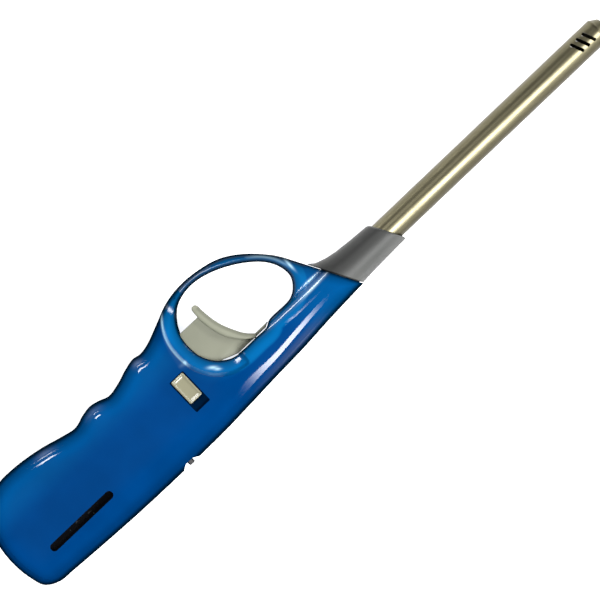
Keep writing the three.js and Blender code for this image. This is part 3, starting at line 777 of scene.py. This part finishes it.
class LighterColours(bpy.types.PropertyGroup):
    """Colours of the visible mouldings and of the barrel."""

    shell: colour_property("Shells", "Colour of the grip shells", (0.0, 0.236, 0.475))
    collar: colour_property("Collar", "Colour of the nose collar", (0.372, 0.377, 0.37))
    trigger: colour_property("Trigger", "Colour of the trigger", (0.548, 0.556, 0.484))
    button: colour_property("Button", "Colour of the lock button", (0.575, 0.565, 0.47))
    barrel: colour_property("Barrel", "Colour of the barrel", (0.6, 0.575, 0.465))


def sizes():
    """The panel's sizes in millimetres."""
    group = bpy.context.scene.lighter_sizes
    return {key: getattr(group, key) / MM for key in ("seam", "wall", "window", "web", "pad", "vent", "bore")}


# ---------- pieces ----------
def shell_cutters(size):
    """What both shells open for: nose joint, trigger, fuel window, flame adjuster, refill valve and barrel."""
    beyond = [(JOINT_X + 20 * JOINT_LEAN, -20), (130, -20), (130, 20), (JOINT_X - 20 * JOINT_LEAN, 20)]
    low, high = ADJUSTER[0][0] - 0.6, ADJUSTER[1][0] + 0.6
    return [
        prism(np.array(beyond, float), -12, 12),
        block((24, 4.4, -4.5), (44, TRIGGER_WEB_TOP + 0.3, 4.5)),
        plate(stadium(-47.3, -18.9, 0, size["window"] / 2), -12, 12),
        plate(rounded([(low, -13), (high, -13), (high, -8), (low, -8)], 0.4), -6.4, 6.4),
        prism(circle((6.8, -15.2), 5.2, 72), -8.4, 8.4),
        along_x(prism(circle((4, 0), 4, 72), -66, -54)),
        along_x(prism(circle((0, 0), BARREL_RADIUS + 0.3, 72), BARREL[0][0] - 0.3, 130)),
        along_x(prism(circle((0, 0), 6.4, 72), 78.85, 130)),
    ]


def bell(x, y, cx, cy, along, across, turn):
    """Spot of exp(-(u / along)^2 - (v / across)^2), with u and v turned about its centre."""
    c, s = math.cos(turn), math.sin(turn)
    u = (x - cx) * c + (y - cy) * s
    v = (y - cy) * c - (x - cx) * s
    return np.exp(-(u / along) ** 2 - (v / across) ** 2)


def outline_depth(x, y, z, d_out, d_hole):
    """Distance from the nearest edge of the shell: outline, guard hole or nose joint, and set low in the recess,
    for the painted shade there.
    """
    joint = np.abs(JOINT_X - x - JOINT_LEAN * y) + 0.5
    low, high = RECESS
    recess = (x > low[0] - 0.1) & (x < high[0] + 0.1) & (y > low[1] - 0.1) & (y < high[1] + 0.1)
    rim = np.minimum(np.minimum(d_out, joint), d_hole * 1.4 + 0.2)
    return np.where(recess & (z > 4) & (z < 9.3), 0.85, rim)


def painted_light_amount(x, y, d_hole):
    """How much painted light the plastic gets: most on the guard's strap, less on the nose and the finger side.
    """
    strap = (1 - smooth_step(4.6, 5.8, d_hole)) * smooth_step(27, 31, x)
    nose = smooth_step(60, 79, x) * 0.45
    fingers = 0.35 * smooth_step(12, 22, y) * (1 - smooth_step(24, 30, x))
    return np.clip(np.maximum(strap, nose) + fingers, 0, 1)


def polish(x, y, d_out, d_hole):
    """How glossy the plastic is: worn along the grip's edges, bright on finger spots and along the nose."""
    grip = 0.25 * smooth_step(1.2, 2.6, d_out) + 0.75 * smooth_step(3.4, 5.5, d_out)
    grip = grip * smooth_step(-4, 2, y) * smooth_step(-57, -51, x)
    spots = sum(bell(x, y, *spot) for spot in FINGER_SPOTS)
    grip = np.where(y > 16, smooth_step(5.6, 8, d_out) + 2.2 * spots, grip)
    streak = np.exp(-(np.abs(x - 57.5) / 14) ** 3.4) * smooth_step(0.8, 3, d_out)
    streak = streak * (1 - smooth_step(-1.2, 0.2, y) * (1 - smooth_step(62, 70, x)))
    edges = smooth_step(0.35, 1.1, np.minimum(d_out, d_hole))
    fold = 0.9 * np.exp(-((x - 37.4) / 0.6) ** 2) * smooth_step(25, 27, y)
    guard = np.where((x < 44) & (y > 20), fold, edges)
    upper = smooth_step(2.2, 3.0, y)
    front = smooth_step(27, 34, x)
    return np.clip(grip * (1 - front) + (streak * (1 - upper) + guard * upper) * front, 0, 1)


def painted_glint(x, y, d_hole):
    """Painted highlights: pale lines along the guard's crease and strap, and small pale spots."""
    crease = np.exp(-((d_hole - 4.9) / 0.34) ** 2) * (x < 40)
    crease = crease * smooth_step(12, 14.5, y) * (1 - smooth_step(30, 33, y))
    strap = np.exp(-((d_hole - 1.7) / 0.45) ** 2) * (x > 68)
    strap = strap * smooth_step(12, 17, y) * (1 - smooth_step(24, 28, y))
    drops = sum(bell(x, y, *spot) for spot in PAINTED_GLINTS)
    return np.clip(0.55 * crease + 0.2 * strap + 0.85 * drops, 0, 0.9)


def make_shell(name, node, side, extra):
    """Half shell: the section loops, mirrored for the right side, with its openings cut."""
    size = sizes()
    surface = shell_surface(wall=size["wall"])
    half_gap = size["seam"] / 2
    surface[..., 2] = side * (half_gap + surface[..., 2] * (10 - half_gap) / 10)
    obj = solid(name, surface, ring=True)
    combine(obj, shell_cutters(size) + extra)
    x, y, z = points_of(obj).T
    d_out = distance_to(OUTER_LINE, x, y)
    d_hole = distance_to(HOLE_LINE, x, y)
    # Marks for the material: edge distance for painted shade, painted light, gloss, and painted highlights on
    # the left side.
    mark(obj, "rim", outline_depth(x, y, z, d_out, d_hole))
    mark(obj, "painted_light", painted_light_amount(x, y, d_hole))
    mark(obj, "gloss", polish(x, y, d_out, d_hole))
    mark(obj, "painted_glint", painted_glint(x, y, d_hole) * (side > 0))
    return settle(obj, "handle_body", finish_of("handle_blue"), [node])


def left_shell():
    """Left half of the grip, with the lock button's recess."""
    (x0, y0), (x1, y1) = RECESS
    recess = stack(rounded([(x0, y0), (x1, y0), (x1, y1), (x0, y1)], 0.45), [(0, 8.5), (0, 9.6), (-0.35, 12)])
    slot = rounded([(21.8, 2.9), (25, 2.9), (25, 11.4), (21.8, 11.4)], 0.3)
    return make_shell("grip_left", "left_shell", 1, [recess, prism(slot, 4, 10)])


def right_shell():
    """Right half of the grip, with the screws' recesses."""
    heads = [prism(circle(at, 2.6, 48), -12, seat + 1.6) for at, seat in SCREWS]
    shanks = [prism(circle(at, 1.4, 24), seat, 0) for at, seat in SCREWS]
    return make_shell("grip_right", "right_shell", -1, heads + shanks)


def nose_half(x):
    """Lowest and highest Y and half thickness of the nose at X, with the finger side flaring at the rear."""
    low = np.interp(x, NOSE_X, NOSE_LOW)
    high = np.interp(x, NOSE_X, NOSE_HIGH)
    flare = np.interp(x, [79, 81.2, 84, 88, 92, 98], [15.4, 11.2, 8.9, 7.6, 6.9, 6.4])
    return low, np.maximum(high, np.where(x < 98, flare, 0)), np.interp(x, NOSE_X, NOSE_TALL)


def collar():
    """Nose collar: superellipse sections between two leaning ends, a rounded front edge and a round bore."""
    around, along = 160, 40
    a = np.linspace(0, 2 * math.pi, around, endpoint=False)[:, None]
    turn = np.linspace(0, math.pi / 2, 8)[None]
    start, end, edge = JOINT_X + 0.3, COLLAR_END_X, 0.9
    base = np.linspace(start + 0.25, end - edge, along)[None]
    base = np.concatenate([np.full((1, 1), start), base, end - edge * (1 - np.sin(turn[:, 1:]))], 1)
    inset = np.concatenate([np.full((1, 1), 0.25), np.zeros((1, along)), edge * (1 - np.cos(turn[:, 1:]))], 1)
    base = np.broadcast_to(base, (around, base.shape[1]))
    x = base.copy()
    cos, sin = np.cos(a), np.sin(a)
    for _ in range(6):
        low, high, tall = nose_half(x)
        y = (low + high) / 2 + ((high - low) / 2 - inset) * np.sign(cos) * np.abs(cos) ** 0.94
        x = base - JOINT_LEAN * y
    z = (tall - inset) * np.sign(sin) * np.abs(sin) ** 0.94
    outside = np.stack([x, y, z], -1)
    radius = BARREL_RADIUS + 0.3
    by, bz = radius * cos, radius * sin
    hole = [np.stack([at - JOINT_LEAN * by, by, bz], -1) for at in (end, end - 0.01, end - 8, start + 4, start)]
    surface = np.concatenate([outside] + hole, 1)
    obj = solid("collar", surface, ring=True)
    sleeve = turned([(79.15, radius), (79.15, 6.1), (95, 6.1), (95, radius)], 0, 0, 96)
    combine(obj, [(sleeve, True)], "UNION")
    # Painted shade: the collar darkens towards its finger side.
    mark(obj, "shade", smooth_step(-5.5, 3.4, points_of(obj)[:, 1]))
    return settle(obj, "handle_body", finish_of("collar_grey"), ["nose_collar"])


def barrel():
    """Drawn tube: a turned wall that curls in at the mouth, with leaning air slots cut in both sides."""
    size = sizes()
    start, end = BARREL[0][0], BARREL[1][0]
    r = BARREL_RADIUS
    mouth = size["bore"]
    cone = smooth_line([(end - 3.3, r), (end - 2.7, r - 0.12), (end - 2.2, r - 0.5), (end - 0.6, mouth + 0.75),
                        (end - 0.15, mouth + 0.4), (end, mouth + 0.1), (end - 0.25, mouth)], 26)
    inner = [(end - 0.6, mouth), (end - 1.0, mouth + 0.45), (end - 2.5, r - 0.9), (end - 3.2, r - 0.4)]
    straight = np.linspace(start + 0.15, end - 3.2, 30)
    outer = np.stack([straight, np.full(30, r)], 1)
    bore = np.stack([straight[::-1][1:], np.full(29, r - 0.4)], 1)
    profile = np.vstack([[(start, r - 0.15)], outer, cone, inner, bore[1:], [(start, r - 0.3)]])
    obj = solid("barrel", turned(profile, 0, 0, 128), ring=True)
    slots = []
    width, pitch, lean, far_side_shift = size["vent"], 2.7, 0.38, 0.35
    c, s = math.cos(lean), math.sin(lean)
    plan = rounded([(-width / 2, -2.6), (width / 2, -2.6), (width / 2, 2.6), (-width / 2, 2.6)], 0.42)
    plan = plan @ np.array([[c, s], [-s, c]]) + (end - 6.8, 0.6)
    for k in range(3):
        slots.append(prism(plan - (pitch * k, 0), 1, 12))
        slots.append(prism(plan - (pitch * k + far_side_shift, 0), -12, -1))
    combine(obj, slots)
    at = points_of(obj)
    # Painted shade: darker on the finger-side half and along the spine-side edge, and near black inside the
    # bore.
    dim = smooth_step(-0.9, 0.7, at[:, 1]) - 0.12 * smooth_step(1.5, 3.5, at[:, 1])
    mark(obj, "shade", 1.12 * dim + 1.25 * (1 - smooth_step(-4.0, -2.1, at[:, 1])))
    mark(obj, "painted_bore_shade", (np.hypot(at[:, 1], at[:, 2]) < r - 0.02) & (at[:, 0] < end - 3.5))
    return settle(obj, "handle_body", finish_of("barrel_metal"), ["barrel_tube"])


def trigger():
    """Sliding trigger: a web with a foot and a tongue, joined to a curved front pad with rolled edges."""
    size = sizes()
    rear = 30.5
    web = rounded([
        (rear, 7), (rear, 22.6), (31, TRIGGER_WEB_TOP), (43.6, TRIGGER_WEB_TOP), (44.2, 20), (45.2, 16.2),
        (47.3, 11), (49.3, 7.6), (51, 5.4), (51, 4.7), (44, 4.7), (41, 5.8), (38, 7), (34, 6.4),
    ], 0.5)
    front = smooth_line([(44.95, 26.9), (45.2, 22), (46.2, 16.7), (48.3, 11.6), (50.3, 8.2), (53, 5.4)], 60)
    tangent = np.gradient(front, axis=0)
    back = np.stack([tangent[:, 1], -tangent[:, 0]], 1) / np.linalg.norm(tangent, axis=1)[:, None]
    back *= -np.sign(back[0, 0])
    at = np.linspace(0, 1, 60)[:, None]
    thick = np.interp(at, [0, 0.2, 0.6, 1], [2.3, 2.8, 3.1, 1.5])
    cap = np.interp(at, [0, 0.008, 0.02, 0.035, 0.05, 1], [0.45, 0.68, 0.85, 0.95, 1, 1])
    half = size["pad"] / 2
    section = rounded([(0, -half), (1, -half), (1, half), (0, half)], 0.42)
    depth = (0.5 + (section[None, :, 0] - 0.5) * cap) * thick
    across = section[None, :, 1] * (half - 0.5 * (1 - cap)) / half
    plan = front[:, None] + back[:, None] * depth[..., None]
    pad = np.concatenate([plan, across[..., None]], 2)
    obj = solid("trigger_lever", plate(web, -size["web"] / 2, size["web"] / 2, 0.25))
    tongue = plate(rounded([(50, 4.65), (56.8, 4.65), (58.6, 5.7), (50, 5.7)], 0.2), -4.2, 4.2, 0.25)
    foot = plate(rounded([(25.4, 6.1), (36, 6.1), (36, 9.2), (25.4, 9.2)], 0.4), -3.2, 3.2, 0.25)
    combine(obj, [pad, tongue, foot], "UNION")
    x, y, _ = points_of(obj).T
    reach = distance_to(front, x, y, closed=False)
    # Painted shadow: darker along the front pad and where the web meets it, low on the web, on the tongue and
    # along the web's top edge.
    shadow = 0.55 * (1 - smooth_step(0.6, 1.4, reach)) * (y < 25.5) + 0.3 * np.exp(-((reach - 3) / 0.6) ** 2)
    shadow = shadow + 0.12 * (1 - smooth_step(6, 14, y)) + 0.3 * smooth_step(51, 53, x)
    shadow = shadow + 0.5 * smooth_step(22.7, 23, y) * (x < 42.4)
    mark(obj, "shade", np.clip(shadow, 0, 1))
    return settle(obj, "trigger", finish_of("trigger_pale"), ["trigger"], 40)


def tray(low, high, radius, profile):
    """Loops of a rounded rectangle that shrinks by each inset of the profile: profile is (inset, z)."""
    loops = []
    for inset, z in profile:
        x0, y0, x1, y1 = low[0] + inset, low[1] + inset, high[0] - inset, high[1] - inset
        plan = rounded([(x0, y0), (x1, y0), (x1, y1), (x0, y1)], max(radius - 0.6 * inset, 0.12), 6)
        loops.append(np.concatenate([plan, np.full((len(plan), 1), z)], 1))
    return np.stack(loops)


def lock_button():
    """Lock button: a dished cap with a raised rim, its neck and the plate that slides under the shell."""
    top = LOCK[1][2]
    cap = tray((20.75, 3.2), (26.05, 13.05), 0.55, [
        (0.2, 8.8), (0, 9.0), (0, top - 0.22), (0.07, top - 0.07), (0.22, top), (0.42, top), (0.58, top - 0.08),
        (0.72, top - 0.24), (0.9, top - 0.33), (1.6, top - 0.38), (2.3, top - 0.4),
    ])
    obj = solid("lock_button", cap)
    neck = plate(rounded([(22.1, 6.2), (24.7, 6.2), (24.7, 11), (22.1, 11)], 0.3), 5.9, 9.2, 0.1)
    foot = plate(rounded([(20, 3.2), (26.8, 3.2), (26.8, 14), (20, 14)], 0.5), 5.4, 6.9, 0.2)
    combine(obj, [neck, foot], "UNION")
    return settle(obj, "lock", finish_of("lock_beige"), ["lock_slider"], 40)


def flame_adjuster():
    """Flame adjuster: a ring on the valve with a finger tab that reaches out through the spine."""
    low, high = ADJUSTER[0][0], ADJUSTER[1][0]
    tip = ADJUSTER[0][1]
    ring = turned(rounded([(low, 3.3), (low, 5), (high, 5), (high, 3.3)], 0.25, 5), VALVE_Y)
    obj = solid("adjuster_tab", ring, ring=True)
    tab = plate(rounded([(low, tip), (high, tip), (high, -5.8), (low, -5.8)], 0.5), -1.3, 1.3, 0.35)
    combine(obj, [tab], "UNION")
    return settle(obj, "adjuster", finish_of("adjuster_black"), ["flame_adjuster"])


def coil_spring(name, node, turns, wire):
    """Compression spring: a round wire swept along a helix, (x0 + p t, y + r cos a, z + r sin a).

    Its turns lie closer together towards both ends.
    """
    low, high = node_box(node)
    length = high[0] - low[0]
    radius = (high[1] - low[1]) / 2 - wire
    y = (low[1] + high[1]) / 2
    t = np.linspace(0, 1, turns * 40)[:, None]
    a = 2 * math.pi * turns * t
    open_turns = np.clip(np.minimum(t, 1 - t) * turns / 0.8, 0, 1)
    rate = np.cumsum(0.25 + 0.75 * open_turns, axis=0)
    x = low[0] + wire + (length - 2 * wire) * (rate - rate[0]) / (rate[-1] - rate[0])
    b = np.linspace(0, 2 * math.pi, 12, endpoint=False)[None]
    out = radius + wire * np.cos(b)
    obj = solid(name, np.stack([x + wire * np.sin(b), y + out * np.cos(a), out * np.sin(a)], -1))
    settle(obj, "handle_body", finish_of("spring_steel"), [node])
    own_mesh(obj)
    return obj


def springs():
    """The trigger's, the gas valve's and the refill valve's springs."""
    coil_spring("trigger_coil", "trigger_spring", 4, 0.38)
    coil_spring("valve_coil", "valve_spring", 5, 0.24)
    coil_spring("refill_coil", "refill_valve_spring", 4, 0.24)


def inner_pieces():
    """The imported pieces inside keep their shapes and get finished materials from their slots."""
    slots = {entry["node"]: entry["material_slot"] for entry in frame["record"]["subparts"]}
    for name, obj in frame["nodes"].items():
        if obj.hide_render:
            continue
        obj.data.materials.clear()
        obj.data.materials.append(finish_of(slots[name]))


def soft_light(name, place, size, power):
    """Rectangular studio light that faces the middle of the grip and nose."""
    data = bpy.data.lights.new(name, "AREA")
    data.shape = "RECTANGLE"
    data.size, data.size_y = size
    data.energy = power
    obj = bpy.data.objects.new(name, data)
    bpy.context.scene.collection.objects.link(obj)
    obj.location = place
    direction = Vector((0.05, 0.0, 0.01)) - obj.location
    obj.rotation_euler = direction.to_track_quat("-Z", "Y").to_euler()


def paper_floor():
    """Pale paper floor that glows a little, so that it stays white under every light."""
    half, level = 3.0, -0.0003
    mesh = bpy.data.meshes.new("floor")
    corners = [(-half, -half, level), (half, -half, level), (half, half, level), (-half, half, level)]
    mesh.from_pydata(corners, [], [(0, 1, 2, 3)])
    floor = bpy.data.objects.new("floor", mesh)
    bpy.context.scene.collection.objects.link(floor)
    paper = Tree("floor paper", Roughness=0.9, Specular_IOR_Level=0.0, Emission_Strength=0.8)
    tooth = paper.noise(30, 2)
    paper.feed("Base Color", paper.blend(tooth, (0.86, 0.86, 0.86, 1), (0.88, 0.88, 0.88, 1)))
    paper.feed("Emission Color", paper.blend(tooth, (0.995, 0.995, 0.995, 1), (1, 1, 1, 1)))
    mesh.materials.append(paper.material)


def studio_world():
    """Walls of light: pale near the horizon and dark overhead."""
    world = bpy.data.worlds.new("studio")
    bpy.context.scene.world = world
    world.use_nodes = True
    nodes, links = world.node_tree.nodes, world.node_tree.links
    nodes.clear()
    place = nodes.new("ShaderNodeTexCoord")
    split = nodes.new("ShaderNodeSeparateXYZ")
    ramp = nodes.new("ShaderNodeValToRGB")
    back = nodes.new("ShaderNodeBackground")
    out = nodes.new("ShaderNodeOutputWorld")
    ramp.color_ramp.elements.new(0.3)
    for element, (height, grey) in zip(ramp.color_ramp.elements, ((0.0, 0.8), (0.3, 0.6), (0.7, 0.03))):
        element.position = height
        element.color = (grey, grey, grey, 1)
    links.new(place.outputs["Generated"], split.inputs[0])
    links.new(split.outputs["Z"], ramp.inputs[0])
    links.new(ramp.outputs[0], back.inputs[0])
    links.new(back.outputs[0], out.inputs[0])


def overhead_camera():
    """Camera straight above, turned so that the barrel runs to the upper right corner."""
    data = bpy.data.cameras.new("camera")
    height, width = 1.2, 0.204
    data.sensor_width = 36
    data.lens = data.sensor_width * height / width
    data.clip_start = 0.05
    data.clip_end = 20
    camera = bpy.data.objects.new("camera", data)
    bpy.context.scene.collection.objects.link(camera)
    c, s = 0.7248, 0.6890
    camera.matrix_world = Matrix((
        (c, s, 0, 0.07165), (-s, c, 0, 0.00336), (0, 0, 1, height + 0.01), (0, 0, 0, 1),
    ))
    bpy.context.scene.camera = camera


def stage():
    """Floor, walls of light, four soft lights and the camera."""
    settings = bpy.context.scene.view_settings
    settings.view_transform = "Standard"
    settings.look = "None"
    paper_floor()
    studio_world()
    soft_light("key softbox", (0.1, -0.52, 1.05), (0.6, 0.46), 13)
    soft_light("finger light", (-0.02, 0.5, 0.95), (0.3, 0.3), 4)
    soft_light("front light", (1.0, -0.25, 0.62), (0.9, 0.14), 6)
    soft_light("side strip", (0.07, 1.05, 0.32), (0.4, 0.06), 1.6)
    overhead_camera()


# ---------- operators and panel ----------
class LIGHTER_OT_left_shell(bpy.types.Operator):
    """Builds the left half of the grip"""

    bl_idname = "lighter.left_shell"
    bl_label = "Left grip shell"

    def execute(self, context):
        left_shell()
        return {"FINISHED"}


class LIGHTER_OT_right_shell(bpy.types.Operator):
    """Builds the right half of the grip"""

    bl_idname = "lighter.right_shell"
    bl_label = "Right grip shell"

    def execute(self, context):
        right_shell()
        return {"FINISHED"}


class LIGHTER_OT_collar(bpy.types.Operator):
    """Builds the nose collar"""

    bl_idname = "lighter.collar"
    bl_label = "Nose collar"

    def execute(self, context):
        collar()
        return {"FINISHED"}


class LIGHTER_OT_barrel(bpy.types.Operator):
    """Builds the slotted barrel"""

    bl_idname = "lighter.barrel"
    bl_label = "Barrel"

    def execute(self, context):
        barrel()
        return {"FINISHED"}


class LIGHTER_OT_controls(bpy.types.Operator):
    """Builds the trigger, the lock button and the flame adjuster"""

    bl_idname = "lighter.controls"
    bl_label = "Trigger, button and adjuster"

    def execute(self, context):
        trigger()
        lock_button()
        flame_adjuster()
        return {"FINISHED"}


class LIGHTER_OT_springs(bpy.types.Operator):
    """Builds the coil springs of the trigger and the valves"""

    bl_idname = "lighter.springs"
    bl_label = "Springs"

    def execute(self, context):
        springs()
        return {"FINISHED"}


class LIGHTER_OT_inner_pieces(bpy.types.Operator):
    """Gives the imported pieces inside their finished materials"""

    bl_idname = "lighter.inner_pieces"
    bl_label = "Inner pieces"

    def execute(self, context):
        inner_pieces()
        return {"FINISHED"}


class LIGHTER_OT_stage(bpy.types.Operator):
    """Builds the floor, the lights and the camera"""

    bl_idname = "lighter.stage"
    bl_label = "Stage"

    def execute(self, context):
        stage()
        return {"FINISHED"}


BUILD_ORDER = ("left_shell", "right_shell", "collar", "barrel", "controls", "springs", "inner_pieces", "stage")


class LIGHTER_PT_panel(bpy.types.Panel):
    """Lists the settings and the build steps"""

    bl_idname = "LIGHTER_PT_panel"
    bl_label = "Lighter"
    bl_space_type = "VIEW_3D"
    bl_region_type = "UI"
    bl_category = "Lighter"

    def draw(self, context):
        scene = context.scene
        for group in (scene.lighter_sizes, scene.lighter_colours):
            for key in group.__annotations__:
                self.layout.prop(group, key)
        for step in BUILD_ORDER:
            self.layout.operator("lighter." + step)


CLASSES = (
    LighterSizes, LighterColours, LIGHTER_OT_left_shell, LIGHTER_OT_right_shell, LIGHTER_OT_collar,
    LIGHTER_OT_barrel, LIGHTER_OT_controls, LIGHTER_OT_springs, LIGHTER_OT_inner_pieces, LIGHTER_OT_stage,
    LIGHTER_PT_panel,
)


def register():
    for item in CLASSES:
        bpy.utils.register_class(item)
    bpy.types.Scene.lighter_sizes = bpy.props.PointerProperty(type=LighterSizes)
    bpy.types.Scene.lighter_colours = bpy.props.PointerProperty(type=LighterColours)


def unregister():
    del bpy.types.Scene.lighter_colours
    del bpy.types.Scene.lighter_sizes
    for item in reversed(CLASSES):
        bpy.utils.unregister_class(item)


def main():
    register()
    for step in BUILD_ORDER:
        getattr(bpy.ops.lighter, step)()


if __name__ == "__main__":
    main()
